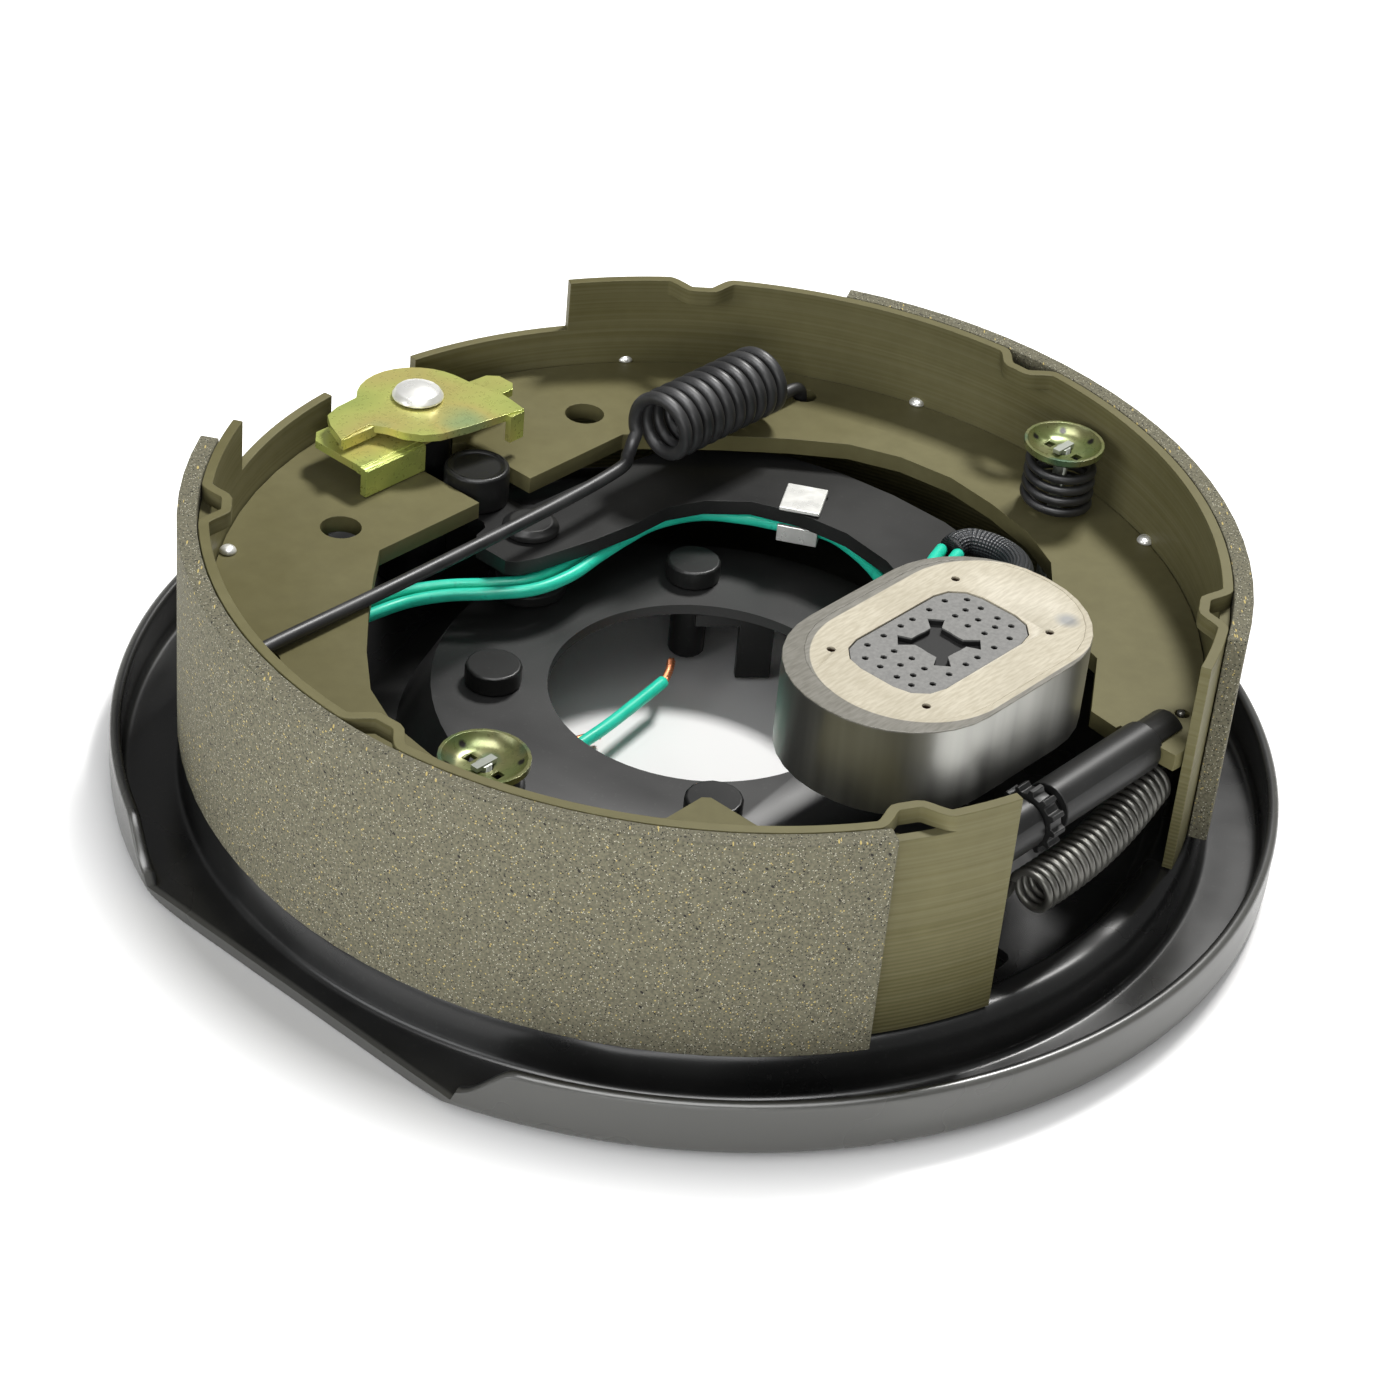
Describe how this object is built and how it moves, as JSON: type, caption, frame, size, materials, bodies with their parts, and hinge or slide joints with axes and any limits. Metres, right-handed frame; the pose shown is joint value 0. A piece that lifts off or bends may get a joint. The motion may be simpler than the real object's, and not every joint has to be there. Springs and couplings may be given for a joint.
{
  "type": "electric trailer drum brake",
  "caption": "Electric drum brake for a trailer axle: stamped backing plate, curved lined shoes, oval magnet on a pivoting arm, star-wheel adjuster, springs, hold-downs and lead wires.",
  "frame": {"origin": "centre of the hub hole, on the rear face of the plate that bolts to the axle flange", "axes": "+Z is the wheel axis, towards the drum and the magnet face; +Y points from the hub to the anchor post at the top of the brake; +X completes the frame, towards the shoe with the shorter lining"},
  "size_m": [0.2755, 0.285, 0.0721],
  "materials": {
    "plate_black": "black electrocoat, satin to gloss",
    "shoe_olive": "olive conversion coat, satin, drawn sheet marks",
    "lining": "moulded friction lining, matt, with metal and mineral flecks",
    "gold_zinc": "yellow zinc plating with a rainbow tint, glossy",
    "bright_steel": "bright zinc, glossy",
    "magnet_steel": "plain drawn steel, satin",
    "magnet_cream": "ground wear face, fine straight scratches",
    "magnet_grey": "pressed powder core, matt, with small holes",
    "spring_black": "black phosphate, oily sheen",
    "teal_insulation": "extruded wire insulation, semi gloss",
    "copper": "bare twisted copper strands",
    "sleeve_black": "braided black sleeving",
    "rubber": "black rubber"
  },
  "bodies": {
    "plate": {"backing_plate": "plate_black", "mounting_stud_1": "plate_black", "mounting_stud_2": "plate_black", "mounting_stud_3": "plate_black", "mounting_stud_4": "plate_black", "rear_bracket": "plate_black", "anchor_post": "plate_black", "guide_strip": "gold_zinc", "guide_plate": "gold_zinc", "anchor_rivet_head": "bright_steel", "lever_pivot_pin": "plate_black", "left_hold_down_pin": "bright_steel", "right_hold_down_pin": "bright_steel", "left_hold_down_cup": "gold_zinc", "right_hold_down_cup": "gold_zinc", "left_hold_down_spring": "spring_black", "right_hold_down_spring": "spring_black", "adjuster_nut": "plate_black", "retractor_spring": "spring_black", "adjuster_spring": "spring_black", "wire_grommet": "rubber", "lead_wire_upper": "teal_insulation", "lead_wire_lower": "teal_insulation", "wire_sleeve": "sleeve_black", "pigtail_long": "teal_insulation", "pigtail_short": "teal_insulation", "pigtail_long_bare_end": "copper", "pigtail_short_bare_end": "copper"},
    "lever": {"lever_arm": "plate_black", "actuating_block": "plate_black", "wire_clip": "bright_steel", "magnet_post": "plate_black", "magnet_spring": "spring_black"},
    "magnet": {"magnet_case": "magnet_steel", "magnet_face": "magnet_cream", "magnet_core": "magnet_grey"},
    "right_shoe": {"right_shoe_web": "shoe_olive", "right_shoe_rim": "shoe_olive", "right_shoe_lining": "lining"},
    "left_shoe": {"left_shoe_web": "shoe_olive", "left_shoe_rim": "shoe_olive", "left_shoe_lining": "lining"},
    "socket": {"adjuster_socket": "plate_black"},
    "star_wheel": {"adjuster_screw": "plate_black"}
  },
  "joints": [
    {"name": "lever_pivot", "type": "hinge", "parent": "plate", "child": "lever", "pos_m": [0, 0.06, 0.018], "axis": [0, 0, -1], "range_deg": [0, 4], "stiffness_Nm_per_rad": 3, "springref_deg": -4.58, "deforming": ["lead_wire_upper", "lead_wire_lower", "wire_sleeve"]},
    {"name": "magnet_slide", "type": "slide", "parent": "lever", "child": "magnet", "axis": [0, 0, 1], "range_m": [-0.0012, 0], "stiffness_N_per_m": 1500, "springref_m": 0.01, "deforming": ["magnet_spring"]},
    {"name": "right_shoe_swing", "type": "hinge", "parent": "plate", "child": "right_shoe", "pos_m": [0.038, -0.1026, 0.02475], "axis": [0, 0, -1], "range_deg": [0, 0.5], "deforming": ["retractor_spring"]},
    {"name": "star_wheel_turn", "type": "hinge", "parent": "socket", "child": "star_wheel", "pos_m": [-0.0055, -0.1026, 0.02475], "axis": [1, 0, 0], "range_deg": [0, 720]},
    {"name": "socket_slide", "type": "slide", "parent": "plate", "child": "socket", "axis": [-1, 0, 0], "range_m": [0, 0.0031]},
    {"name": "left_shoe_swing", "type": "hinge", "parent": "plate", "child": "left_shoe", "pos_m": [0, 0.1015, 0.02475], "axis": [0, 0, -1], "range_deg": [0, 0.9], "deforming": ["adjuster_spring"]}
  ],
  "couplings": [
    {"joint": "right_shoe_swing", "follows": "lever_pivot", "ratio": 0.1071},
    {"joint": "socket_slide", "follows": "star_wheel_turn", "m_per_rad": 0.00023873},
    {"joint": "left_shoe_swing", "follows": "star_wheel_turn", "ratio": 0.00117}
  ]
}
